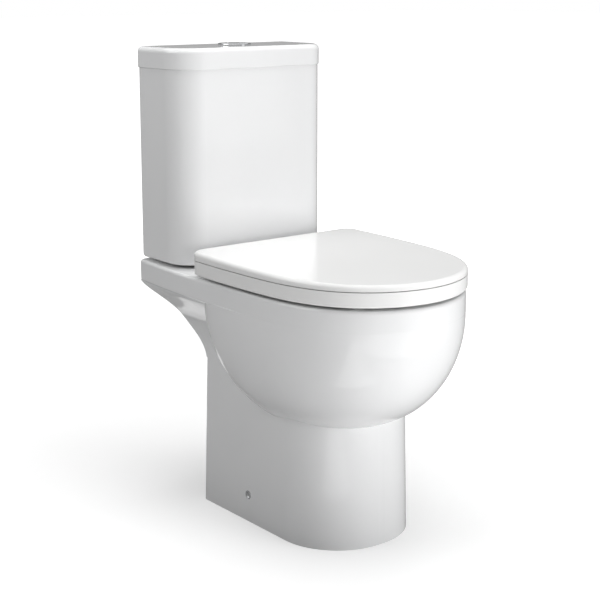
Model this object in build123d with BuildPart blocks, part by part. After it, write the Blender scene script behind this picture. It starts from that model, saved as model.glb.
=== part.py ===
from build123d import *

import math
import os

# Close coupled toilet, millimetres. The front faces -Y and +Z is up.
# The origin is on the floor, in the middle of the toilet's width and of its depth.

# Overall
DEPTH = 604.0  # wall face of the pan to the front of the seat
REAR = DEPTH / 2  # the plane of the pan's rear face
RIM_HEIGHT = 433.0
GAP = 0.3  # clearance between pieces that move apart

# Pan, outside. Distances along the depth are counted forwards from the rear face.
PAN_HALF_WIDTH = 180.0
PAN_FRONT = 602.0
PAN_WIDEST = 257.0
PAN_REAR_HALF_WIDTH = 166.0
SHELF_THICKNESS = 40.0
BOWL_DROP = 200.0  # height of the rounded underside of the bowl
BOWL_FRONT_TUCK = 194.0
BOWL_SIDE_TUCK = 115.0
BOWL_REAR_CENTRE = 470.0
BOWL_REAR_REACH = 322.0
BOWL_REAR_DROP = 215.0
WALL = 12.0
FOOT_HALF_WIDTH = 119.0
FOOT_REAR = 131.0
FOOT_FRONT = 487.0
FOOT_FRONT_CORNER = 112.0
FOOT_REAR_CORNER = 10.0
FOOT_TAPER = 1.4
FOOT_WALL = 13.0
ARM_BASE = 268.0

# Pan, inside
MOUTH_HALF_WIDTH = 131.0
MOUTH_REAR = 237.0
MOUTH_FRONT = 551.0
LIP_DEPTH = 36.0
OUTLET_HEIGHT = 190.0
OUTLET_END = 55.0
OUTLET_RADIUS = 51.0
TRAP_RADIUS = 38.0
TRAP_OUTER_RADIUS = 48.0

# Pan, fixings
INLET_CENTRE = 75.0
INLET_RECESS_RADIUS = 50.0
INLET_RECESS_DEPTH = 15.0
INLET_RADIUS = 36.0
COUPLING_SPACING = 150.0
COUPLING_FROM_REAR = 58.0
LEDGE = 18.0  # ceramic left under the rim where a bolt goes through
SEAT_HOLE_SPACING = 155.0
BOLT_RADIUS = 4.0
SIDE_HOLE_FROM_REAR = 268.0
SIDE_HOLE_HEIGHT = 48.0
SIDE_HOLE_RADIUS = 4.5
SIDE_RECESS_RADIUS = 8.0
SIDE_RECESS_DEPTH = 4.0

# Cistern
TANK_HALF_WIDTH = 163.5
TANK_REAR = 5.0
TANK_FRONT = 144.5
TANK_BASE = 438.0
TANK_TOP = 781.0
TANK_WALL = 9.0
TANK_FLOOR = 12.0
TANK_CORNER = 50.0
TANK_REAR_CORNER = 12.0
LID_OVERHANG = 2.0
LID_TOP = 818.0
LID_THICKNESS = 12.0
OUTLET_HOLE_RADIUS = 32.0

# Flush button
BEZEL_RADIUS = 30.0
BEZEL_HEIGHT = 3.5
BEZEL_SLEEVE_RADIUS = 24.0
BUTTON_RADIUS = 22.0
BUTTON_SPLIT = 5.0  # the split line's distance from the centre
ROD_RADIUS = 2.5
ROD_OFFSET = 15.0

# Flush valve
VALVE_FLANGE_RADIUS = 40.0
VALVE_TAIL_RADIUS = 31.0
VALVE_BORE_RADIUS = 26.0
VALVE_SEAT = 458.0
CAGE_RADIUS = 36.0
HEAD_BASE = 640.0
HEAD_TOP = 672.0
TUBE_RADIUS = 12.0

# Fill valve
INLET_HEIGHT = 735.0
TAIL_RADIUS = 10.5
TAIL_THREAD = 9.5  # length of the tail that takes the tap connector
TAIL_END = 181.5
TAIL_BODY_RADIUS = 11.0
RISER_X = 108.0
RISER_RADIUS = 9.0
FLOAT_RADIUS = 27.0
FLOAT_BASE = 600.0
FLOAT_HEIGHT = 62.0

# Seat
SEAT_HALF_WIDTH = 182.0
SEAT_FRONT = 604.0
SEAT_REAR = 186.0
RING_BASE = 438.5
RING_TOP = 463.0
LID_BASE = 464.5
LID_REAR_TOP = 479.5
LID_FRONT_TOP = 474.0
RING_HALF_OPENING = 112.0
RING_OPENING_REAR = 262.0
RING_OPENING_FRONT = 545.0
HINGE_FROM_REAR = 176.0
HINGE_HEIGHT = 463.0
KNUCKLE_RADIUS = 8.0
HINGE_PIN_RADIUS = 3.0
RUNNING_FIT = 0.05


def place(distance):
    """The Y of a point this far in front of the pan's rear face."""
    return REAR - distance


def quarter(half_width, length, side_power, end_power, steps):
    """Points of one quarter of a superellipse, evenly spread, from its side to its end."""
    points = []
    for step in range(steps + 1):
        angle = math.pi / 2 * (step / steps) ** (0.5 + end_power / 4)
        x = half_width * math.cos(angle) ** (2 / side_power) if step < steps else 0.0
        points.append((x, length * math.sin(angle) ** (2 / end_power)))
    return points


def oval(half_width, rear, widest, front, side_power=2.0, front_power=2.0, rear_power=2.0, steps=6):
    """Points round a superellipse whose rear and front halves differ, from its +X side."""
    middle = place(widest)
    back_quarter = quarter(half_width, widest - rear, side_power, rear_power, steps)
    fore_quarter = quarter(half_width, front - widest, side_power, front_power, steps)
    back = [(x, middle + y) for x, y in back_quarter]
    fore = [(x, middle - y) for x, y in fore_quarter]
    left_back = [(-x, y) for x, y in reversed(back[:-1])]
    left_fore = [(-x, y) for x, y in fore[1:]]
    return back + left_back + left_fore + list(reversed(fore[1:-1]))


def front_curve(half_width, widest, front, side_power, front_power, steps=7):
    """Points from the +X side round the front to the -X side."""
    fore_quarter = quarter(half_width, front - widest, side_power, front_power, steps)
    fore = [(x, place(widest) - y) for x, y in fore_quarter]
    return fore + [(-x, y) for x, y in reversed(fore[:-1])]


def pan_flank(distance):
    """Half the width of the pan's outline behind its widest place."""
    return PAN_HALF_WIDTH - (PAN_HALF_WIDTH - PAN_REAR_HALF_WIDTH) * (1 - distance / PAN_WIDEST) ** 2


def cistern_outline(grow):
    """The cistern's outline, grown outwards by this much: a box with large front corners."""
    half_width = TANK_HALF_WIDTH + grow
    depth = TANK_FRONT - TANK_REAR + 2 * grow
    with BuildSketch() as outline:
        with Locations((0, place((TANK_REAR + TANK_FRONT) / 2))):
            Rectangle(2 * half_width, depth)
        fillet(outline.vertices().group_by(Axis.Y)[0], TANK_CORNER + grow)
        fillet(outline.vertices().group_by(Axis.Y)[-1], max(TANK_REAR_CORNER + grow, 2))
    return outline.sketch


# ---------------------------------------------------------------- pan
# One ceramic casting: a flat rim and shelf, a rounded bowl under it, a hollow foot that is open
# behind and below, and a trap inside the foot that ends in a round outlet spigot.

SHELF_UNDERSIDE = RIM_HEIGHT - SHELF_THICKNESS
flank_lean = SIDE_HOLE_HEIGHT * math.tan(math.radians(FOOT_TAPER))
RECESS_X = FOOT_HALF_WIDTH - flank_lean - SIDE_RECESS_DEPTH  # floor of the side screws' recesses

with BuildPart() as rim:
    with BuildSketch(Plane.XY.offset(SHELF_UNDERSIDE)):
        with BuildLine():
            flank = [(pan_flank(d), place(d)) for d in (0, 60, 120, 180)]
            front = front_curve(PAN_HALF_WIDTH, PAN_WIDEST, PAN_FRONT, 1.93, 4.0)
            mirrored_flank = [(-x, y) for x, y in reversed(flank)]
            edge = Spline(*flank, *front, *mirrored_flank)
            Line(edge @ 1, edge @ 0)
        make_face()
    extrude(amount=SHELF_THICKNESS)
    fillet(rim.edges().filter_by(Axis.Z), 14)
    fillet(rim.faces().sort_by(Axis.Z)[-1].edges(), 5)
    fillet(rim.faces().sort_by(Axis.Z)[0].edges().sort_by(Axis.Y)[-1:], 6)

# The bowl is a stack of ovals that shrink along a quarter ellipse.
BOWL_HEIGHTS = [398, 390, 360, 325, 290, 258, 232, 213, 201]
with BuildPart() as bowl:
    for height in BOWL_HEIGHTS:
        drop = max(SHELF_UNDERSIDE - height, 0)
        tuck = 1 - math.sqrt(1 - (drop / BOWL_DROP) ** 2)
        rear_drop = drop / BOWL_REAR_DROP
        half_width = PAN_HALF_WIDTH - 0.15 - BOWL_SIDE_TUCK * tuck
        front_end = PAN_FRONT - 0.15 - BOWL_FRONT_TUCK * tuck
        rear_end = BOWL_REAR_CENTRE - BOWL_REAR_REACH * math.sqrt(1 - rear_drop**2)
        widest = PAN_WIDEST + 110 * tuck
        with BuildSketch(Plane.XY.offset(height)):
            with BuildLine():
                powers = (1.93 + 0.2 * tuck, 4 - 2.2 * tuck, 2.2)
                Spline(*oval(half_width, rear_end, widest, front_end, *powers), periodic=True)
            make_face()
    loft()

# The foot narrows a little upwards. Its front corners are large arcs and its rear edges are crisp.
with BuildPart() as foot:
    with BuildSketch() as foot_plan:
        with Locations((0, place((FOOT_REAR + FOOT_FRONT) / 2))):
            Rectangle(2 * FOOT_HALF_WIDTH, FOOT_FRONT - FOOT_REAR)
        fillet(foot_plan.vertices().group_by(Axis.Y)[0], FOOT_FRONT_CORNER)
        fillet(foot_plan.vertices().group_by(Axis.Y)[-1], FOOT_REAR_CORNER)
    extrude(amount=ARM_BASE, taper=FOOT_TAPER)

# The arm carries the shelf: it sweeps back and flares out to the shelf's edges.
# Each row is a height, the distance of its rear edge and half its width there.
foot_lean = ARM_BASE * math.tan(math.radians(FOOT_TAPER))
ARM_ROWS = [
    (ARM_BASE, FOOT_REAR + foot_lean, FOOT_HALF_WIDTH - foot_lean),
    (300, 117, 114),
    (322, 93, 119),
    (341, 74, 126),
    (362, 53, 142),
    (376, 34, 155),
    (388, 13, 163),
    (SHELF_UNDERSIDE + 2, 4, 165.5),
]
with BuildPart() as arm:
    with BuildSketch(Plane.YZ):
        with BuildLine():
            rear_edge = Spline(*[(place(rear), height) for height, rear, _ in ARM_ROWS])
            Polyline(rear_edge @ 1, (place(300), SHELF_UNDERSIDE + 2), (place(300), ARM_BASE), rear_edge @ 0)
        make_face()
    extrude(amount=200, both=True)
    with BuildSketch(Plane.XZ):
        with BuildLine():
            right = Spline(*[(half_width, height) for height, _, half_width in ARM_ROWS])
            left = Spline(*[(-half_width, height) for height, _, half_width in ARM_ROWS])
            Line(right @ 0, left @ 0)
            Line(right @ 1, left @ 1)
        make_face()
    extrude(amount=400, both=True, mode=Mode.INTERSECT)

# The space inside the foot is open behind and below, with a chamber above it under the shelf.
with BuildPart() as foot_space:
    with BuildSketch(Plane.XY.offset(-1)) as space_plan:
        with Locations((0, place((90 + FOOT_FRONT - FOOT_WALL) / 2))):
            Rectangle(2 * (FOOT_HALF_WIDTH - FOOT_WALL), FOOT_FRONT - FOOT_WALL - 90)
        fillet(space_plan.vertices().group_by(Axis.Y)[0], FOOT_FRONT_CORNER - FOOT_WALL)
    extrude(amount=ARM_BASE - 5, taper=FOOT_TAPER)
    with BuildSketch(Plane.XY.offset(ARM_BASE - 8)):
        with Locations((0, place(225))):
            Rectangle(190, 140)
    extrude(amount=80)

# The inside of the bowl: height, half width, rear and front distances.
BASIN_SECTIONS = [
    (397, 149, 221, 569),
    (384, 149, 221, 569),
    (340, 146, 232, 563),
    (300, 136, 252, 547),
    (260, 116, 286, 519),
    (230, 92, 313, 487),
    (205, 68, 326, 457),
    (170, 50, 333, 436),
    (120, 42, 337, 421),
    (76, 34, 345, 413),
]


def basin(grow):
    """The water space of the bowl, grown outwards by this much."""
    with BuildPart() as space:
        for height, half_width, rear, front in BASIN_SECTIONS:
            level = height + (grow if height == 397 else -grow if height == 76 else 0)
            ends = (rear - grow, (rear + front) / 2, front + grow)
            with BuildSketch(Plane.XY.offset(level)):
                with BuildLine():
                    Spline(*oval(half_width + grow, *ends, 2.0, 2.2, 2.2), periodic=True)
                make_face()
        loft()
    return space.part


def trap(radius, start):
    """The trap: back from the sump, up over the weir, down and out to the spigot."""
    with BuildPart() as tube:
        with BuildLine(Plane.YZ) as path:
            FilletPolyline(
                (place(start), 113),
                (place(300), 113),
                (place(255), 238),
                (place(180), OUTLET_HEIGHT),
                (place(OUTLET_END), OUTLET_HEIGHT),
                radius=[50, 50, 50],
            )
        with BuildSketch(Plane(origin=path.line @ 0, z_dir=path.line % 0)):
            Circle(radius)
        sweep()
    return tube.part


with BuildPart() as pan:
    add(rim.part)
    add(bowl.part)
    add(foot.part)
    add(arm.part)
    add(foot_space.part, mode=Mode.SUBTRACT)
    # the bowl's own wall and the trap inside the foot
    add(basin(WALL))
    add(trap(TRAP_OUTER_RADIUS, 378))
    with BuildSketch(Plane.XZ.offset(-place(OUTLET_END))):
        with Locations((0, OUTLET_HEIGHT)):
            Circle(OUTLET_RADIUS)
    extrude(amount=60)
    add(basin(0), mode=Mode.SUBTRACT)
    # mouth of the bowl
    with BuildSketch(Plane.XY.offset(RIM_HEIGHT + 1)):
        with BuildLine():
            mouth = (MOUTH_REAR, (MOUTH_REAR + MOUTH_FRONT) / 2, MOUTH_FRONT)
            Spline(*oval(MOUTH_HALF_WIDTH, *mouth, 2.0, 2.2, 2.2), periodic=True)
        make_face()
    extrude(amount=-LIP_DEPTH - 6, mode=Mode.SUBTRACT)
    add(trap(TRAP_RADIUS, 378), mode=Mode.SUBTRACT)
    with BuildSketch(Plane.XZ.offset(-place(OUTLET_END) - 1)):
        with Locations((0, OUTLET_HEIGHT)):
            Circle(TRAP_RADIUS + 5)
    extrude(amount=41, mode=Mode.SUBTRACT)
    # flush water: recess for the seal, well, and channel forwards to the bowl
    with BuildSketch(Plane.XY.offset(RIM_HEIGHT)):
        with Locations((0, place(INLET_CENTRE))):
            Circle(INLET_RECESS_RADIUS)
    extrude(amount=-INLET_RECESS_DEPTH, mode=Mode.SUBTRACT)
    with BuildSketch(Plane.XY.offset(RIM_HEIGHT)):
        with Locations((0, place(INLET_CENTRE))):
            Circle(INLET_RADIUS)
    extrude(amount=-60, mode=Mode.SUBTRACT)
    with BuildSketch(Plane.XY.offset(373)):
        with Locations((0, place((INLET_CENTRE + 235) / 2))):
            Rectangle(50, 235 - INLET_CENTRE)
    extrude(amount=22, mode=Mode.SUBTRACT)
    # bolt holes with access pockets from below
    for spacing, distance in (
        (COUPLING_SPACING, COUPLING_FROM_REAR),
        (SEAT_HOLE_SPACING, HINGE_FROM_REAR),
    ):
        with BuildSketch(Plane.XY.offset(RIM_HEIGHT + 1)):
            with Locations((0, place(distance))):
                with GridLocations(spacing, 0, 2, 1):
                    Circle(BOLT_RADIUS + 1.5)
        extrude(amount=-LEDGE - 6, mode=Mode.SUBTRACT)
        with BuildSketch(Plane.XY.offset(RIM_HEIGHT - LEDGE)):
            with Locations((0, place(distance))):
                with GridLocations(spacing, 0, 2, 1):
                    Circle(16)
        extrude(amount=-90, mode=Mode.SUBTRACT)
    # side fixing holes
    with BuildSketch(Plane.YZ.offset(-125)):
        with Locations((place(SIDE_HOLE_FROM_REAR), SIDE_HOLE_HEIGHT)):
            Circle(SIDE_HOLE_RADIUS)
    extrude(amount=250, mode=Mode.SUBTRACT)
    for side in (-1, 1):
        with BuildSketch(Plane.YZ.offset(side * RECESS_X)):
            with Locations((place(SIDE_HOLE_FROM_REAR), SIDE_HOLE_HEIGHT)):
                Circle(SIDE_RECESS_RADIUS)
        extrude(amount=side * 10, mode=Mode.SUBTRACT)


# ------------------------------------------------------------ cistern
# A ceramic box with an outlet hole, two bolt holes and a side hole for the fill valve's tail,
# and a loose ceramic lid with a locating rim that drops inside it.

with BuildPart() as cistern_tank:
    with BuildSketch(Plane.XY.offset(TANK_BASE)):
        add(cistern_outline(0))
    extrude(amount=TANK_TOP - TANK_BASE)
    fillet(cistern_tank.faces().sort_by(Axis.Z)[0].edges(), 7)
    with BuildSketch(Plane.XY.offset(TANK_BASE + TANK_FLOOR)):
        add(cistern_outline(-TANK_WALL))
    extrude(amount=TANK_TOP - TANK_BASE, mode=Mode.SUBTRACT)
    with BuildSketch(Plane.XY.offset(TANK_BASE - 1)):
        with Locations((0, place(INLET_CENTRE))):
            Circle(OUTLET_HOLE_RADIUS)
        with Locations((0, place(COUPLING_FROM_REAR))):
            with GridLocations(COUPLING_SPACING, 0, 2, 1):
                Circle(BOLT_RADIUS + 1)
    extrude(amount=TANK_FLOOR + 2, mode=Mode.SUBTRACT)
    with BuildSketch(Plane.YZ.offset(TANK_HALF_WIDTH - TANK_WALL - 1)):
        with Locations((place(INLET_CENTRE), INLET_HEIGHT)):
            Circle(TAIL_BODY_RADIUS + 0.5)
    extrude(amount=TANK_WALL + 2, mode=Mode.SUBTRACT)

with BuildPart() as cistern_lid:
    with BuildSketch(Plane.XY.offset(TANK_TOP)):
        add(cistern_outline(LID_OVERHANG))
    extrude(amount=LID_TOP - TANK_TOP)
    fillet(cistern_lid.faces().sort_by(Axis.Z)[-1].edges(), 9)
    fillet(cistern_lid.faces().sort_by(Axis.Z)[0].edges(), 1.5)
    with BuildSketch(Plane.XY.offset(TANK_TOP - 10)):
        add(cistern_outline(-TANK_WALL - 1.5))
    extrude(amount=22)
    with BuildSketch(Plane.XY.offset(TANK_TOP - 11)):
        add(cistern_outline(-TANK_WALL - 9))
    extrude(amount=LID_TOP - LID_THICKNESS - TANK_TOP + 11, mode=Mode.SUBTRACT)
    with BuildSketch(Plane.XY.offset(LID_TOP + 1)):
        with Locations((0, place(INLET_CENTRE))):
            Circle(BEZEL_SLEEVE_RADIUS + 0.5)
    extrude(amount=-LID_THICKNESS - 2, mode=Mode.SUBTRACT)

# ------------------------------------------------------------- button
# A chromed bezel clamped through the cistern lid by a nut, with a large and a small button in it.
# Each button pushes a rod that reaches down into the flush valve's head.

BUTTON_AXIS = (0, place(INLET_CENTRE))
SLEEVE_BASE = LID_TOP - LID_THICKNESS - 20
NUT_TOP = LID_TOP - LID_THICKNESS - GAP
BUTTON_TOP = LID_TOP + BEZEL_HEIGHT - 0.7
BUTTON_THICKNESS = 9.0

with BuildPart() as button_bezel:
    with BuildSketch(Plane.XY.offset(LID_TOP)):
        with Locations(BUTTON_AXIS):
            Circle(BEZEL_RADIUS)
    extrude(amount=BEZEL_HEIGHT)
    fillet(button_bezel.faces().sort_by(Axis.Z)[-1].edges(), 2)
    with BuildSketch(Plane.XY.offset(LID_TOP)):
        with Locations(BUTTON_AXIS):
            Circle(BEZEL_SLEEVE_RADIUS)
    extrude(amount=SLEEVE_BASE - LID_TOP)
    with BuildSketch(Plane.XY.offset(LID_TOP + BEZEL_HEIGHT + 1)):
        with Locations(BUTTON_AXIS):
            Circle(BUTTON_RADIUS + 0.4)
    extrude(amount=SLEEVE_BASE + 3 - LID_TOP - BEZEL_HEIGHT - 1, mode=Mode.SUBTRACT)
    with BuildSketch(Plane.XY.offset(SLEEVE_BASE - 1)):
        with Locations(BUTTON_AXIS):
            with GridLocations(2 * ROD_OFFSET, 0, 2, 1):
                Circle(ROD_RADIUS + 0.6)
    extrude(amount=5, mode=Mode.SUBTRACT)

with BuildPart() as bezel_nut:
    with BuildSketch(Plane.XY.offset(NUT_TOP - 9)):
        with Locations(BUTTON_AXIS):
            RegularPolygon(33, 12)
            Circle(BEZEL_SLEEVE_RADIUS, mode=Mode.SUBTRACT)
    extrude(amount=9)


def flush_button(side):
    """One of the two button halves: side 1 is the large one at +X, side -1 the small one."""
    edge = -BUTTON_SPLIT + side * GAP
    with BuildPart() as button:
        with BuildSketch(Plane.XY.offset(BUTTON_TOP - BUTTON_THICKNESS)):
            with Locations(BUTTON_AXIS):
                Circle(BUTTON_RADIUS)
                with Locations((edge + side * BUTTON_RADIUS, 0)):
                    Rectangle(2 * BUTTON_RADIUS, 2 * BUTTON_RADIUS, mode=Mode.INTERSECT)
        extrude(amount=BUTTON_THICKNESS)
        fillet(button.faces().sort_by(Axis.Z)[-1].edges(), 0.8)
    return button.part


def push_rod(side):
    """The rod under a button, with a round foot for the button to press on."""
    with BuildPart() as push:
        with BuildSketch(Plane.XY.offset(BUTTON_TOP - BUTTON_THICKNESS)):
            with Locations((side * ROD_OFFSET, place(INLET_CENTRE))):
                Circle(ROD_RADIUS)
        extrude(amount=HEAD_TOP - 10 - (BUTTON_TOP - BUTTON_THICKNESS))
        with BuildSketch(Plane.XY.offset(BUTTON_TOP - BUTTON_THICKNESS)):
            with Locations((side * ROD_OFFSET, place(INLET_CENTRE))):
                Circle(ROD_RADIUS + 1.5)
        extrude(amount=-3)
    return push.part


# -------------------------------------------------------- flush valve
# The base is clamped through the tank's outlet hole by its backnut. The cage stands on it and
# guides the overflow tube, whose seal closes the base until a button lifts it.

VALVE_AXIS = (0, place(INLET_CENTRE))
TANK_INSIDE = TANK_BASE + TANK_FLOOR
TAIL_BASE = 404.0

with BuildPart() as flush_valve_base:
    with BuildSketch(Plane.XY.offset(TANK_INSIDE + GAP)):
        with Locations(VALVE_AXIS):
            Circle(VALVE_FLANGE_RADIUS)
    extrude(amount=4)
    with BuildSketch(Plane.XY.offset(TAIL_BASE)):
        with Locations(VALVE_AXIS):
            Circle(VALVE_TAIL_RADIUS)
    extrude(amount=VALVE_SEAT - TAIL_BASE)
    with BuildSketch(Plane.XY.offset(TAIL_BASE - 1)):
        with Locations(VALVE_AXIS):
            Circle(VALVE_BORE_RADIUS)
    extrude(amount=VALVE_SEAT - TAIL_BASE + 2, mode=Mode.SUBTRACT)

with BuildPart() as flush_valve_backnut:
    with BuildSketch(Plane.XY.offset(TANK_BASE - GAP - 9)):
        with Locations(VALVE_AXIS):
            RegularPolygon(39, 8)
            Circle(VALVE_TAIL_RADIUS, mode=Mode.SUBTRACT)
    extrude(amount=9)

with BuildPart() as coupling_seal:
    with BuildSketch(Plane.XY.offset(RIM_HEIGHT - INLET_RECESS_DEPTH + GAP)):
        with Locations(VALVE_AXIS):
            Circle(INLET_RECESS_RADIUS - 0.5)
            Circle(39.5, mode=Mode.SUBTRACT)
    extrude(amount=TANK_BASE - RIM_HEIGHT + INLET_RECESS_DEPTH - 2 * GAP)
    fillet(coupling_seal.edges().filter_by(GeomType.CIRCLE), 2)

with BuildPart() as flush_valve_cage:
    with BuildSketch(Plane.XY.offset(TANK_INSIDE + GAP + 4)):
        with Locations(VALVE_AXIS):
            Circle(VALVE_FLANGE_RADIUS - 1)
            Circle(VALVE_TAIL_RADIUS + 1.5, mode=Mode.SUBTRACT)
    extrude(amount=6)
    with BuildSketch(Plane.XY.offset(TANK_INSIDE + GAP + 9)):
        with Locations(VALVE_AXIS):
            with PolarLocations(CAGE_RADIUS - 1, 4, 45):
                Rectangle(4, 7)
    extrude(amount=HEAD_BASE - TANK_INSIDE - 9)
    with BuildSketch(Plane.XY.offset(560)):
        with Locations(VALVE_AXIS):
            Circle(CAGE_RADIUS)
            Circle(TUBE_RADIUS + 0.4, mode=Mode.SUBTRACT)
    extrude(amount=5)
    with BuildSketch(Plane.XY.offset(HEAD_BASE)):
        with Locations(VALVE_AXIS):
            Circle(CAGE_RADIUS + 1)
    extrude(amount=HEAD_TOP - HEAD_BASE)
    fillet(flush_valve_cage.faces().sort_by(Axis.Z)[-1].edges(), 4)
    with BuildSketch(Plane.XY.offset(HEAD_TOP + 1)):
        with Locations(VALVE_AXIS):
            with GridLocations(2 * ROD_OFFSET, 0, 2, 1):
                Circle(ROD_RADIUS + 0.6)
    extrude(amount=-24, mode=Mode.SUBTRACT)

with BuildPart() as overflow_tube:
    with BuildSketch(Plane.XY.offset(VALVE_SEAT + GAP + 3)):
        with Locations(VALVE_AXIS):
            Circle(TUBE_RADIUS)
    extrude(amount=625 - VALVE_SEAT)
    with BuildSketch(Plane.XY.offset(VALVE_SEAT + GAP + 3)):
        with Locations(VALVE_AXIS):
            Circle(27)
    extrude(amount=4)
    with BuildSketch(Plane.XY.offset(VALVE_SEAT)):
        with Locations(VALVE_AXIS):
            Circle(TUBE_RADIUS - 1.8)
    extrude(amount=200, mode=Mode.SUBTRACT)

with BuildPart() as flush_seal:
    with BuildSketch(Plane.XY.offset(VALVE_SEAT + GAP)):
        with Locations(VALVE_AXIS):
            Circle(30)
            Circle(TUBE_RADIUS - 1.8, mode=Mode.SUBTRACT)
    extrude(amount=3)

# ----------------------------------------------------- coupling bolts
# Two bolts go through rubber washers, the tank's floor, rubber spacers and the shelf of the pan.

COUPLING_PLACES = [(side * COUPLING_SPACING / 2, place(COUPLING_FROM_REAR)) for side in (-1, 1)]
LEDGE_UNDERSIDE = RIM_HEIGHT - LEDGE


def washers(places, base, thickness, radius):
    """Rings of one size round the bolts at these places."""
    with BuildPart() as rings:
        with BuildSketch(Plane.XY.offset(base)):
            with Locations(*places):
                Circle(radius)
                Circle(BOLT_RADIUS + 0.2, mode=Mode.SUBTRACT)
        extrude(amount=thickness)
    return rings.part


def bolts(places, base, top, head_radius, head_height):
    """Bolts with round heads on top."""
    with BuildPart() as shanks:
        with BuildSketch(Plane.XY.offset(base)):
            with Locations(*places):
                Circle(BOLT_RADIUS)
        extrude(amount=top - base)
        with BuildSketch(Plane.XY.offset(top)):
            with Locations(*places):
                Circle(head_radius)
        extrude(amount=head_height)
        fillet(shanks.faces().sort_by(Axis.Z)[-2:].edges(), 1.5)
    return shanks.part


def wing_nuts(places, top):
    """Nuts with two wings, tightened upwards against this level."""
    with BuildPart() as nuts:
        with BuildSketch(Plane.XY.offset(top - 9)):
            with Locations(*places):
                Circle(8)
                Circle(BOLT_RADIUS + RUNNING_FIT, mode=Mode.SUBTRACT)
        extrude(amount=9)
        with BuildSketch(Plane.XY.offset(top - 15)):
            for x, y in places:
                with Locations((x - 9.5, y), (x + 9.5, y)):
                    Rectangle(8, 3)
        extrude(amount=13)
    return nuts.part


# --------------------------------------------------------- fill valve
# The tail goes out through the tank's right side. The float cup slides on the riser and its rod
# closes the valve in the head.

RISER_AXIS = (RISER_X, place(INLET_CENTRE))
TANK_SIDE_INSIDE = TANK_HALF_WIDTH - TANK_WALL


with BuildPart() as fill_valve:
    for start, length, radius in (
        (RISER_X, TAIL_END - TAIL_THREAD - RISER_X, TAIL_BODY_RADIUS),
        (TAIL_END - TAIL_THREAD, TAIL_THREAD, TAIL_RADIUS),
        (TANK_SIDE_INSIDE - 7.5, 4, 17),
    ):
        with BuildSketch(Plane.YZ.offset(start)):
            with Locations((place(INLET_CENTRE), INLET_HEIGHT)):
                Circle(radius)
        extrude(amount=length)
    with BuildSketch(Plane.XY.offset(INLET_HEIGHT - 30)):
        with Locations(RISER_AXIS):
            Circle(16)
    extrude(amount=50)
    fillet(fill_valve.faces().sort_by(Axis.Z)[-1].edges(), 3)
    with BuildSketch(Plane.XY.offset(480)):
        with Locations(RISER_AXIS):
            Circle(RISER_RADIUS)
    extrude(amount=INLET_HEIGHT - 30 - 480)
    with BuildSketch(Plane.XY.offset(479)):
        with Locations(RISER_AXIS):
            Circle(RISER_RADIUS - 2.5)
    extrude(amount=INLET_HEIGHT - 479, mode=Mode.SUBTRACT)
    with BuildSketch(Plane.YZ.offset(RISER_X)):
        with Locations((place(INLET_CENTRE), INLET_HEIGHT)):
            Circle(6)
    extrude(amount=TAIL_END - RISER_X + 1, mode=Mode.SUBTRACT)

with BuildPart() as fill_valve_washer:
    with BuildSketch(Plane.YZ.offset(TANK_SIDE_INSIDE - 3.4)):
        with Locations((place(INLET_CENTRE), INLET_HEIGHT)):
            Circle(16)
            Circle(TAIL_BODY_RADIUS + 0.2, mode=Mode.SUBTRACT)
    extrude(amount=3.2)

with BuildPart() as fill_valve_nut:
    with BuildSketch(Plane.YZ.offset(TANK_HALF_WIDTH + 0.2)):
        with Locations((place(INLET_CENTRE), INLET_HEIGHT)):
            RegularPolygon(17, 6)
            Circle(TAIL_BODY_RADIUS + RUNNING_FIT, mode=Mode.SUBTRACT)
    extrude(amount=8)

with BuildPart() as float_cup:
    with BuildSketch(Plane.XY.offset(FLOAT_BASE)):
        with Locations(RISER_AXIS):
            Circle(FLOAT_RADIUS)
    extrude(amount=FLOAT_HEIGHT)
    fillet(float_cup.edges().filter_by(GeomType.CIRCLE), 4)
    with BuildSketch(Plane.XY.offset(FLOAT_BASE - 1)):
        with Locations(RISER_AXIS):
            Circle(RISER_RADIUS + 0.6)
    extrude(amount=FLOAT_HEIGHT + 2, mode=Mode.SUBTRACT)

with BuildPart() as float_rod:
    with BuildSketch(Plane.XY.offset(FLOAT_BASE + FLOAT_HEIGHT)):
        with Locations((RISER_X - 20, place(INLET_CENTRE))):
            Circle(2)
    extrude(amount=INLET_HEIGHT + 18 - FLOAT_BASE - FLOAT_HEIGHT)

# --------------------------------------------------------------- seat
# A moulded ring and a lid of the same outline, which thickens towards the hinge. Both turn on
# the pins of two posts that are bolted to the rim.

HINGE_SIDES = (-1, 1)
HINGE_X = SEAT_HOLE_SPACING / 2
POST_HALF = 8.0
HINGE_Y = place(HINGE_FROM_REAR)


def seat_outline(inset):
    """The outline of the seat: straight behind with round corners, and round in front."""
    side = SEAT_HALF_WIDTH - inset
    rear_y = place(SEAT_REAR + inset)
    corner = 26.0 - inset
    with BuildSketch() as outline:
        with BuildLine():
            curve = Spline(
                (side - 1.5, rear_y - corner),
                *front_curve(side, PAN_WIDEST, SEAT_FRONT - inset, 1.93, 4.0),
                (-side + 1.5, rear_y - corner),
            )
            left = RadiusArc(curve @ 1, (-side + 1.5 + corner, rear_y), corner)
            back = Line(left @ 1, (side - 1.5 - corner, rear_y))
            RadiusArc(back @ 1, curve @ 0, corner)
        make_face()
    return outline.sketch


def knuckles(centre_x, width, low, high):
    """A pair of hinge knuckles round the hinge line, each joined forwards to its plate."""
    with BuildPart() as pair:
        for side in HINGE_SIDES:
            start = side * centre_x - width / 2
            with BuildSketch(Plane.YZ.offset(start)):
                with Locations((HINGE_Y, HINGE_HEIGHT)):
                    Circle(KNUCKLE_RADIUS)
                with Locations((HINGE_Y - 9, (low + high) / 2)):
                    Rectangle(18, high - low)
                with Locations((HINGE_Y, HINGE_HEIGHT)):
                    Circle(HINGE_PIN_RADIUS + RUNNING_FIT, mode=Mode.SUBTRACT)
            extrude(amount=width)
    return pair.part


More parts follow.
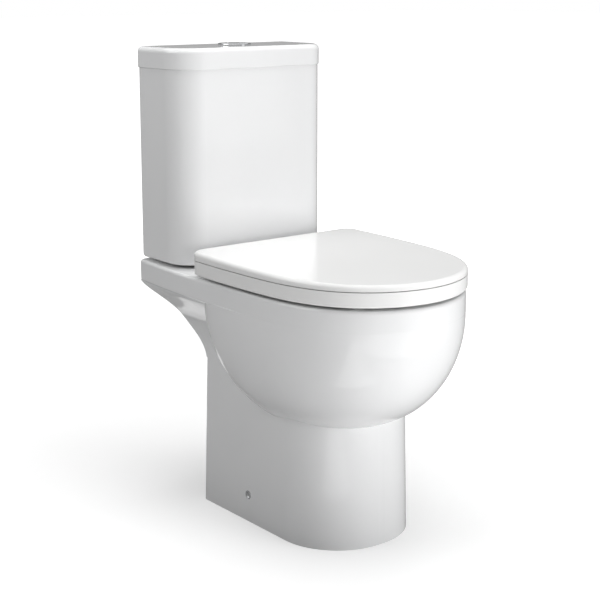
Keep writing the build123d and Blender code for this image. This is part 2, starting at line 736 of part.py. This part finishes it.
LID_KNUCKLE_X = HINGE_X - POST_HALF - 1 - 6
RING_KNUCKLE_X = HINGE_X + POST_HALF + 1 + 6

with BuildPart() as seat_ring:
    with BuildSketch(Plane.XY.offset(RING_BASE)):
        add(seat_outline(0))
        with BuildLine():
            middle = (RING_OPENING_REAR + RING_OPENING_FRONT) / 2
            Spline(
                *oval(RING_HALF_OPENING, RING_OPENING_REAR, middle, RING_OPENING_FRONT, 2.0, 2.2, 2.2),
                periodic=True,
            )
        make_face(mode=Mode.SUBTRACT)
    extrude(amount=RING_TOP - RING_BASE)
    fillet(seat_ring.faces().sort_by(Axis.Z)[-1].inner_wires()[0].edges(), 9)
    fillet(seat_ring.faces().sort_by(Axis.Z)[0].outer_wire().edges(), 4)
    add(knuckles(RING_KNUCKLE_X, 12, 451, 462))

with BuildPart() as seat_lid:
    with BuildSketch(Plane.XY.offset(LID_BASE)):
        add(seat_outline(0))
    extrude(amount=30)
    slope = math.degrees(math.atan2(LID_REAR_TOP - LID_FRONT_TOP, SEAT_FRONT - SEAT_REAR))
    cut_plane = Plane((0, place(SEAT_FRONT), LID_FRONT_TOP)).rotated((slope, 0, 0))
    split(bisect_by=cut_plane, keep=Keep.BOTTOM)
    fillet(seat_lid.faces().sort_by(Axis.Z)[-1].edges(), 7)
    add(knuckles(LID_KNUCKLE_X, 12, 465, 471))

with BuildPart() as hinge_posts:
    for side in HINGE_SIDES:
        with BuildSketch(Plane.XY.offset(RIM_HEIGHT + GAP)):
            with Locations((side * HINGE_X, HINGE_Y)):
                Circle(20)
        extrude(amount=2.5)
        with BuildSketch(Plane.YZ.offset(side * HINGE_X - POST_HALF)):
            with Locations((HINGE_Y, HINGE_HEIGHT)):
                Circle(KNUCKLE_RADIUS)
            with Locations((HINGE_Y, (RIM_HEIGHT + 2 + HINGE_HEIGHT) / 2)):
                Rectangle(14, HINGE_HEIGHT - RIM_HEIGHT - 2)
            with Locations((HINGE_Y, HINGE_HEIGHT)):
                Circle(HINGE_PIN_RADIUS, mode=Mode.SUBTRACT)
        extrude(amount=2 * POST_HALF)
    with BuildSketch(Plane.XY.offset(RIM_HEIGHT)):
        with Locations((0, HINGE_Y)):
            with GridLocations(SEAT_HOLE_SPACING, 0, 2, 1):
                Circle(BOLT_RADIUS)
    extrude(amount=18, mode=Mode.SUBTRACT)

with BuildPart() as hinge_pins:
    for side in HINGE_SIDES:
        with BuildSketch(Plane.YZ.offset(side * HINGE_X - 20)):
            with Locations((HINGE_Y, HINGE_HEIGHT)):
                Circle(HINGE_PIN_RADIUS)
        extrude(amount=40)

SEAT_BOLT_PLACES = ((-HINGE_X, HINGE_Y), (HINGE_X, HINGE_Y))
with BuildPart() as seat_bolts:
    with BuildSketch(Plane.XY.offset(388)):
        with Locations(*SEAT_BOLT_PLACES):
            Circle(BOLT_RADIUS)
    extrude(amount=RIM_HEIGHT + 17.5 - 388)

RING_BUFFER_PLACES = [(side * x, place(d)) for side in HINGE_SIDES for x, d in ((152, 300), (98, 532))]
LID_BUFFER_PLACES = [(side * x, place(d)) for side in HINGE_SIDES for x, d in ((148, 330), (92, 525))]
with BuildPart() as ring_buffers:
    with BuildSketch(Plane.XY.offset(RIM_HEIGHT + GAP)):
        with Locations(*RING_BUFFER_PLACES):
            SlotOverall(24, 12)
    extrude(amount=RING_BASE - RIM_HEIGHT - GAP)

with BuildPart() as lid_buffers:
    with BuildSketch(Plane.XY.offset(RING_TOP + GAP)):
        with Locations(*LID_BUFFER_PLACES):
            Circle(6)
    extrude(amount=LID_BASE - RING_TOP - GAP)

# -------------------------------------------------------- floor fixing
# Angle brackets stand inside the foot. A screw holds each to the floor and a side screw holds
# the pan to it.

BRACKET_PLATE = 4.0
BRACKET_FACE = FOOT_HALF_WIDTH - FOOT_WALL - 2.5
SCREW_Y = place(SIDE_HOLE_FROM_REAR)

with BuildPart() as floor_brackets:
    for side in HINGE_SIDES:
        with BuildSketch(Plane.XY):
            with Locations((side * (BRACKET_FACE - 25), SCREW_Y)):
                Rectangle(50, 44)
            with Locations((side * (BRACKET_FACE - 32), SCREW_Y)):
                Circle(BOLT_RADIUS, mode=Mode.SUBTRACT)
        extrude(amount=BRACKET_PLATE)
        with BuildSketch(Plane.XY):
            with Locations((side * (BRACKET_FACE - 5), SCREW_Y)):
                Rectangle(10, 44)
        extrude(amount=SIDE_HOLE_HEIGHT + 18)
        with BuildSketch(Plane.YZ.offset(side * (BRACKET_FACE - 5) - 6)):
            with Locations((SCREW_Y, SIDE_HOLE_HEIGHT)):
                Circle(3)
        extrude(amount=12, mode=Mode.SUBTRACT)

with BuildPart() as floor_screws:
    for side in HINGE_SIDES:
        with BuildSketch():
            with Locations((side * (BRACKET_FACE - 32), SCREW_Y)):
                Circle(BOLT_RADIUS)
        extrude(amount=BRACKET_PLATE)
        with BuildSketch(Plane.XY.offset(BRACKET_PLATE)):
            with Locations((side * (BRACKET_FACE - 32), SCREW_Y)):
                Circle(7.5)
        extrude(amount=4)



def recess_plane(side):
    """The floor of the round recess on one side of the foot, facing outwards."""
    return Plane(origin=(side * RECESS_X, SCREW_Y, SIDE_HOLE_HEIGHT), z_dir=(side, 0, 0))


with BuildPart() as side_screws:
    for side in HINGE_SIDES:
        recess = recess_plane(side)
        with BuildSketch(recess):
            Circle(3)
        extrude(amount=-(RECESS_X - BRACKET_FACE + 10))
        with BuildSketch(recess):
            Circle(5.5)
        extrude(amount=2.2)

with BuildPart() as screw_collars:
    for side in HINGE_SIDES:
        with BuildSketch(recess_plane(side)):
            Circle(SIDE_RECESS_RADIUS - GAP)
            Circle(5.7, mode=Mode.SUBTRACT)
        extrude(amount=SIDE_RECESS_DEPTH - 0.4)

# ------------------------------------------------------------- export
seat_washer_rings = washers(SEAT_BOLT_PLACES, LEDGE_UNDERSIDE - 3, 3 - GAP, 12)
seat_nut_pair = wing_nuts(SEAT_BOLT_PLACES, LEDGE_UNDERSIDE - 3.2)
coupling_tops = TANK_INSIDE + GAP + 3 + GAP

pieces = {
    "pan": pan.part,
    "cistern_tank": cistern_tank.part,
    "cistern_lid": cistern_lid.part,
    "button_bezel": button_bezel.part,
    "bezel_nut": bezel_nut.part,
    "full_flush_button": flush_button(1),
    "half_flush_button": flush_button(-1),
    "full_push_rod": push_rod(1),
    "half_push_rod": push_rod(-1),
    "flush_valve_base": flush_valve_base.part,
    "flush_valve_backnut": flush_valve_backnut.part,
    "coupling_seal": coupling_seal.part,
    "flush_valve_cage": flush_valve_cage.part,
    "overflow_tube": overflow_tube.part,
    "flush_seal": flush_seal.part,
    "coupling_bolts": bolts(COUPLING_PLACES, 392, coupling_tops, 9, 5),
    "coupling_rubber_washers": washers(COUPLING_PLACES, TANK_INSIDE + GAP, 3, 12),
    "coupling_spacers": washers(COUPLING_PLACES, RIM_HEIGHT + GAP, TANK_BASE - RIM_HEIGHT - 2 * GAP, 12),
    "coupling_steel_washers": washers(COUPLING_PLACES, LEDGE_UNDERSIDE - 2, 2 - GAP, 11),
    "coupling_wing_nuts": wing_nuts(COUPLING_PLACES, LEDGE_UNDERSIDE - 2.2),
    "fill_valve": fill_valve.part,
    "fill_valve_washer": fill_valve_washer.part,
    "fill_valve_nut": fill_valve_nut.part,
    "float_cup": float_cup.part,
    "float_rod": float_rod.part,
    "seat_ring": seat_ring.part,
    "seat_lid": seat_lid.part,
    "hinge_posts": hinge_posts.part,
    "hinge_pins": hinge_pins.part,
    "seat_bolts": seat_bolts.part,
    "seat_bolt_washers": seat_washer_rings,
    "seat_wing_nuts": seat_nut_pair,
    "ring_buffers": ring_buffers.part,
    "lid_buffers": lid_buffers.part,
    "floor_brackets": floor_brackets.part,
    "floor_screws": floor_screws.part,
    "side_screws": side_screws.part,
    "screw_collars": screw_collars.part,
}

os.makedirs("parts", exist_ok=True)
for name, piece in pieces.items():
    piece.label = name
    export_step(piece, f"parts/{name}.step")
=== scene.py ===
import math

import bmesh
import bpy
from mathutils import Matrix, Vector

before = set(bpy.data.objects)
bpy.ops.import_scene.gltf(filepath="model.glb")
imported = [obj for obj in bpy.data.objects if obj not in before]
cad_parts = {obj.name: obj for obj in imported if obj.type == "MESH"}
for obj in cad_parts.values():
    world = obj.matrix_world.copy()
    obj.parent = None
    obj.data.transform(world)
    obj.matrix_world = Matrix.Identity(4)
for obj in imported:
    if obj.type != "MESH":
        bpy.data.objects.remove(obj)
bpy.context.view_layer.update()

# ---------------------------------------------------------------- pan
# The pan is one hollow casting of vitreous china: bowl, rim, shelf and foot together. It is
# glazed white and fired. The glaze rounds every edge and ripples a little, like orange skin.

BODY_WHITE = (0.86, 0.865, 0.872, 1)
GLAZE_WHITE = (0.90, 0.902, 0.905, 1)
SPECK_GREY = (0.80, 0.80, 0.79, 1)


class Wire:
    """A shader socket that can be reckoned with: an expression adds its Math nodes."""

    def __init__(self, web, socket):
        self.web = web
        self.socket = socket

    def reckon(self, operation, first, second):
        return self.web.node("ShaderNodeMath", {"operation": operation}, {0: first, 1: second})

    def __add__(self, other):
        return self.reckon("ADD", self, other)

    def __mul__(self, other):
        return self.reckon("MULTIPLY", self, other)

    def __pow__(self, other):
        return self.reckon("POWER", self, other)

    def __rpow__(self, other):
        return self.reckon("POWER", other, self)

    __radd__ = __add__
    __rmul__ = __mul__


class Web:
    """A node tree, and the one way to add a node to it."""

    def __init__(self, tree):
        self.tree = tree

    def join(self, value, target):
        """Links a wire to a socket, or sets the socket to a plain value."""
        if isinstance(value, Wire):
            self.tree.links.new(value.socket, target)
        else:
            target.default_value = value

    def node(self, kind, settings, sockets, output=0):
        """Any node: its type, its settings, and the values or links of its sockets."""
        made = self.tree.nodes.new(kind)
        for name, value in settings.items():
            setattr(made, name, value)
        for name, value in sockets.items():
            self.join(value, made.inputs[name])
        return Wire(self, made.outputs[output])

    def end(self, output, shader):
        """Joins a shader to the surface of the tree's output node."""
        self.join(shader, self.tree.nodes[output].inputs["Surface"])


class Finish(Web):
    """One material and its Principled shader."""

    def __init__(self, name):
        self.material = bpy.data.materials.new(name)
        self.material.use_nodes = True
        super().__init__(self.material.node_tree)
        self.shader = self.tree.nodes["Principled BSDF"]

    def noise(self, scale, detail=2.0):
        """Cloudy noise in the piece's own space; the scale is in clouds to the metre."""
        where = self.node("ShaderNodeTexCoord", {}, {}, "Object")
        return self.node("ShaderNodeTexNoise", {}, {"Vector": where, "Scale": scale, "Detail": detail})

    def blend(self, share, low, high):
        """A colour between two, by a wire's value."""
        return self.node("ShaderNodeMix", {"data_type": "RGBA"}, {0: share, 6: low, 7: high}, 2)

    def bump(self, height, strength, distance, under=None):
        """A bump of this height, over another one if given; the distance is in metres."""
        sockets = {"Height": height, "Strength": strength, "Distance": distance}
        if under:
            sockets["Normal"] = under
        return self.node("ShaderNodeBump", {}, sockets)

    def cover(self, sockets):
        """Sets or links the shader's sockets and gives the finished material."""
        for name, value in sockets.items():
            self.join(value, self.shader.inputs[name])
        return self.material


def sanitary_glaze():
    """White fired glaze: a clear hard gloss over a faintly uneven white body."""
    finish = Finish("sanitary_glaze")
    clouds = finish.noise(scale=7.0, detail=3.0)
    specks = finish.noise(scale=900.0, detail=1.0) ** 6.0
    body = finish.blend(clouds, BODY_WHITE, GLAZE_WHITE)
    ripple = finish.bump(finish.noise(scale=9.0, detail=1.5), strength=0.35, distance=0.0012)
    peel = finish.bump(finish.noise(scale=260.0), strength=0.12, distance=0.00012, under=ripple)
    return finish.cover(
        {
            "Base Color": finish.blend(specks, body, SPECK_GREY),
            "Roughness": 0.055 + clouds * 0.05,
            "Normal": peel,
            "Coat Weight": 0.35,
            "Coat Roughness": 0.03,
        }
    )


def dress(names, material):
    """Gives pieces a finish, with their rounded faces shaded as smooth."""
    for name in names:
        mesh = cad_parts[name].data
        mesh.materials.clear()
        mesh.materials.append(material)
        for face in mesh.polygons:
            face.use_smooth = True


GLAZE = sanitary_glaze()
dress(["pan"], GLAZE)

# ------------------------------------------------- cistern and its lid
# The tank and its lid are cast and glazed like the pan, in the same kiln. The lid only lies
# on the tank, held by its own weight, and lifts off for work on the valves.

dress(["cistern_tank", "cistern_lid"], GLAZE)

# -------------------------------------------------------- flush button
# The bezel and the two halves of the button are moulded in plastic and plated with chrome.
# A nut under the lid clamps the bezel, and a rod under each half reaches down to the valve.

BRIGHT_CHROME = (0.86, 0.87, 0.88, 1)
DULL_CHROME = (0.78, 0.79, 0.81, 1)
NATURAL_WHITE = (0.87, 0.87, 0.86, 1)
SHADED_WHITE = (0.82, 0.82, 0.81, 1)


def plated(name, low, high, polish, wear):
    """Plated metal: roughness of the polished parts, and how much the worn ones add."""
    finish = Finish(name)
    clouds = finish.noise(scale=60.0, detail=4.0)
    scratches = finish.bump(finish.noise(scale=900.0, detail=3.0), strength=0.05, distance=0.00005)
    return finish.cover(
        {
            "Base Color": finish.blend(clouds, low, high),
            "Roughness": polish + clouds * wear,
            "Metallic": 1.0,
            "Normal": scratches,
        }
    )


def fitting_plastic(name, low, high):
    """Moulded fitting plastic with a fine grain from the mould."""
    finish = Finish(name)
    clouds = finish.noise(scale=40.0, detail=3.0)
    grain = finish.bump(finish.noise(scale=700.0), strength=0.25, distance=0.0001)
    return finish.cover(
        {
            "Base Color": finish.blend(clouds, low, high),
            "Roughness": 0.38 + clouds * 0.12,
            "Normal": grain,
        }
    )


CHROME = plated("chrome_plate", DULL_CHROME, BRIGHT_CHROME, polish=0.05, wear=0.06)
WHITE_PLASTIC = fitting_plastic("white_fitting_plastic", SHADED_WHITE, NATURAL_WHITE)
dress(["button_bezel", "full_flush_button", "half_flush_button"], CHROME)
dress(["bezel_nut", "full_push_rod", "half_push_rod"], WHITE_PLASTIC)

# --------------------------------------------------------- flush valve
# The valve stands over the hole in the tank's floor: a base with a threaded tail and a nut
# under the tank, a cage round it, and a coloured overflow tube that lifts a rubber seal.

MARKER_BLUE = (0.16, 0.34, 0.6, 1)
DEEP_BLUE = (0.12, 0.28, 0.52, 1)
RUBBER_BLACK = (0.02, 0.02, 0.02, 1)
RUBBER_BLOOM = (0.045, 0.045, 0.045, 1)


def rubber(name, low, high):
    """Moulded rubber: matt, with a fine grain and a faint bloom."""
    finish = Finish(name)
    clouds = finish.noise(scale=90.0, detail=4.0)
    grain = finish.bump(finish.noise(scale=1200.0), strength=0.3, distance=0.0001)
    return finish.cover(
        {
            "Base Color": finish.blend(clouds, low, high),
            "Roughness": 0.7 + clouds * 0.2,
            "Normal": grain,
        }
    )


BLUE_PLASTIC = fitting_plastic("blue_fitting_plastic", DEEP_BLUE, MARKER_BLUE)
BLACK_RUBBER = rubber("black_rubber", RUBBER_BLACK, RUBBER_BLOOM)
dress(["flush_valve_base", "flush_valve_backnut", "flush_valve_cage"], WHITE_PLASTIC)
dress(["overflow_tube"], BLUE_PLASTIC)
dress(["flush_seal"], BLACK_RUBBER)

# -------------------------------------------- cistern to pan coupling
# A thick rubber ring seals the valve's tail into the well of the pan's shelf. Two zinc plated
# bolts clamp the tank on rubber spacers, with rubber washers inside and wing nuts below.

ZINC_BRIGHT = (0.68, 0.68, 0.67, 1)
ZINC_DULL = (0.55, 0.56, 0.57, 1)

ZINC_STEEL = plated("zinc_steel", ZINC_DULL, ZINC_BRIGHT, polish=0.28, wear=0.15)
dress(["coupling_seal", "coupling_rubber_washers", "coupling_spacers"], BLACK_RUBBER)
dress(["coupling_bolts", "coupling_steel_washers", "coupling_wing_nuts"], ZINC_STEEL)

# ---------------------------------------------------------- fill valve
# The fill valve comes in through the tank's side on a threaded tail, sealed by a rubber
# washer inside and held by a nut outside. A coloured float on a rod shuts it off.

dress(["fill_valve", "fill_valve_nut", "float_rod"], WHITE_PLASTIC)
dress(["float_cup"], BLUE_PLASTIC)
dress(["fill_valve_washer"], BLACK_RUBBER)

# ------------------------------------------------------- seat and lid
# The ring and the lid are pressed from urea resin, which polishes to a soft even gloss. Pale
# rubber buffers under both keep them off the glaze and off each other.

RESIN_WHITE = (0.915, 0.915, 0.91, 1)
RESIN_SHADE = (0.885, 0.885, 0.88, 1)
BUFFER_PALE = (0.8, 0.8, 0.79, 1)
BUFFER_SHADE = (0.72, 0.72, 0.71, 1)


def seat_resin():
    """Pressed and polished urea resin."""
    finish = Finish("seat_resin")
    clouds = finish.noise(scale=5.0)
    peel = finish.bump(finish.noise(scale=180.0), strength=0.1, distance=0.0001)
    return finish.cover(
        {
            "Base Color": finish.blend(clouds, RESIN_SHADE, RESIN_WHITE),
            "Roughness": 0.14 + clouds * 0.06,
            "Normal": peel,
        }
    )


dress(["seat_ring", "seat_lid"], seat_resin())
dress(["ring_buffers", "lid_buffers"], rubber("clear_white_rubber", BUFFER_SHADE, BUFFER_PALE))

# ------------------------------------------------ hinges of the seat
# Two chromed posts stand on the pan's shelf and carry the steel pins that the ring and the
# lid turn on. A bolt from each post goes down to a rubber washer and a plastic wing nut.

dress(["hinge_posts"], CHROME)
dress(["hinge_pins", "seat_bolts"], ZINC_STEEL)
dress(["seat_bolt_washers"], BLACK_RUBBER)
dress(["seat_wing_nuts"], WHITE_PLASTIC)

# -------------------------------------------------------- floor fixing
# Two plastic brackets inside the foot are screwed to the floor. A screw through each side of
# the foot bites into its bracket, in a small bright collar that lines the hole in the china.

dress(["floor_brackets"], WHITE_PLASTIC)
dress(["floor_screws", "side_screws"], ZINC_STEEL)
dress(["screw_collars"], CHROME)

# ------------------------------------------------------- floor and room
# A pale seamless floor in an even white room. To the camera the floor carries painted light: a glow that is
# weak near the object, where the real shadow still shows, and brightens away from it until it meets the
# room; everything else sees it as a plain mid grey.

FLOOR_HALF_WIDTH = 30.0
SHADOW_REACH = 0.5
HORIZON_REACH = 2.5
PAPER_PALE = (0.8, 0.8, 0.8, 1)
PAPER_SHADE = (0.78, 0.78, 0.78, 1)
PAINTED_GLOW_NEAR = (0.34, 0.34, 0.34, 1)
PAINTED_GLOW_FAR = (0.97, 0.97, 0.97, 1)
BOUNCE_GREY = (0.42, 0.42, 0.42, 1)
ROOM_WHITE = (1, 1, 1, 1)
ROOM_LIGHT = 0.25


def painted_glow_paper():
    """Matt paper with painted light that only the camera sees: a glow, weak near the middle and full further
    out.
    """
    finish = Finish("studio_floor")
    where = finish.node("ShaderNodeTexCoord", {}, {}, "Object")
    far = finish.node("ShaderNodeVectorMath", {"operation": "LENGTH"}, {0: where}, "Value")
    reach = finish.node(
        "ShaderNodeMapRange",
        {"interpolation_type": "SMOOTHSTEP"},
        {"Value": far, 1: SHADOW_REACH, 2: HORIZON_REACH},
    )
    finish.cover(
        {
            "Base Color": finish.blend(finish.noise(scale=3.0), PAPER_SHADE, PAPER_PALE),
            "Roughness": 0.9,
            # Painted light: the floor's glow, weak near the object and full far from it.
            "Emission Color": finish.blend(reach, PAINTED_GLOW_NEAR, PAINTED_GLOW_FAR),
            "Emission Strength": 1.0,
        }
    )
    seen = Wire(finish, finish.shader.outputs[0])
    bounce = finish.node("ShaderNodeBsdfDiffuse", {}, {"Color": BOUNCE_GREY})
    to_camera = finish.node("ShaderNodeLightPath", {}, {}, "Is Camera Ray")
    finish.end("Material Output", finish.node("ShaderNodeMixShader", {}, {0: to_camera, 1: bounce, 2: seen}))
    return finish.material


floor_mesh = bpy.data.meshes.new("studio_floor")
floor_shape = bmesh.new()
bmesh.ops.create_grid(floor_shape, x_segments=8, y_segments=8, size=FLOOR_HALF_WIDTH)
floor_shape.to_mesh(floor_mesh)
floor_shape.free()
floor_mesh.materials.append(painted_glow_paper())
floor = bpy.data.objects.new("studio_floor", floor_mesh)
bpy.context.scene.collection.objects.link(floor)

world = bpy.data.worlds.new("studio")
bpy.context.scene.world = world
world.use_nodes = True
room = Web(world.node_tree)
room.tree.nodes.remove(room.tree.nodes["Background"])
seen = room.node("ShaderNodeBackground", {}, {"Color": ROOM_WHITE, "Strength": 1.0})
lit = room.node("ShaderNodeBackground", {}, {"Color": ROOM_WHITE, "Strength": ROOM_LIGHT})
to_camera = room.node("ShaderNodeLightPath", {}, {}, "Is Camera Ray")
room.end("World Output", room.node("ShaderNodeMixShader", {}, {0: to_camera, 1: lit, 2: seen}))

# --------------------------------------------------------- studio lights
# A large soft key stands in front and to the right, with a softbox overhead and a wide dim
# ceiling that only shines back from chrome. Strips on the floor draw the gleams on the bowl.

STRIP_HEIGHT = 0.012
STRIP_AIM = 43


def area_light(name, place, turn, width, height, power, gleam):
    """A rectangular light that no camera sees; without gleam it draws no highlight."""
    data = bpy.data.lights.new(name, "AREA")
    data.shape = "RECTANGLE"
    data.size = width
    data.size_y = height
    data.energy = power
    lamp = bpy.data.objects.new(name, data)
    lamp.location = place
    lamp.rotation_euler = turn
    lamp.visible_camera = False
    lamp.visible_glossy = gleam
    bpy.context.scene.collection.objects.link(lamp)
    return lamp


def softbox(name, place, aim, width, height, power, gleam=True):
    """A light at a place, aimed at a point."""
    turn = (Vector(aim) - Vector(place)).to_track_quat("-Z", "Y").to_euler()
    return area_light(name, place, turn, width, height, power, gleam)


def floor_strip(name, x, y, length, width, turn, power, gleam=True):
    """A light lying on the floor that shines straight up; turn is its length's direction."""
    faces_up = (math.pi, 0, math.radians(turn))
    area_light(name, (x, y, STRIP_HEIGHT), faces_up, length, width, power, gleam)


softbox("key", (1.2, -2.8, 0.6), (0, 0, 0.25), width=1.8, height=1.2, power=47, gleam=False)
softbox("overhead", (0.1, -0.1, 2.8), (0, 0, 0.4), width=1.8, height=1.8, power=46, gleam=False)
ceiling = softbox("ceiling", (0, 0, 3.2), (0, 0, 0), width=7.0, height=7.0, power=110)
ceiling.visible_diffuse = False
softbox("cistern_fill", (-1.3, 0.5, 1.5), (-0.16, 0.22, 0.65), width=1.0, height=1.0, power=7)
softbox("window", (1.5, -2.6, 0.9), (0, 0, 0.4), width=1.1, height=1.3, power=2)
floor_strip("front_strip", 0.3, -1.2, length=2.2, width=0.8, turn=0, power=5)
floor_strip("bowl_fill", -0.42, -0.92, length=0.9, width=0.4, turn=STRIP_AIM, power=3.0, gleam=False)
floor_strip("bowl_strip", -0.62, -0.72, length=1.1, width=0.3, turn=STRIP_AIM, power=0.9)
floor_strip("shelf_strip", -0.05, 0.62, length=0.3, width=0.16, turn=0, power=0.12)

# --------------------------------------------------------------- camera
# A long lens a little higher than the cistern, to the left of the front, looking slightly
# down. It is shifted downwards so that the whole suite sits in the middle of the frame.

CAMERA_PLACE = (-1.428, -1.762, 0.930)
CAMERA_TILT = 79.1
CAMERA_HEADING = -38.45

camera_data = bpy.data.cameras.new("camera")
camera_data.lens = 80.5
camera_data.sensor_width = 36.0
camera_data.shift_y = -0.1
camera_data.clip_end = 100.0
camera = bpy.data.objects.new("camera", camera_data)
camera.location = CAMERA_PLACE
camera.rotation_euler = (math.radians(CAMERA_TILT), 0, math.radians(CAMERA_HEADING))
bpy.context.scene.collection.objects.link(camera)
bpy.context.scene.camera = camera
bpy.context.scene.view_settings.view_transform = "Standard"
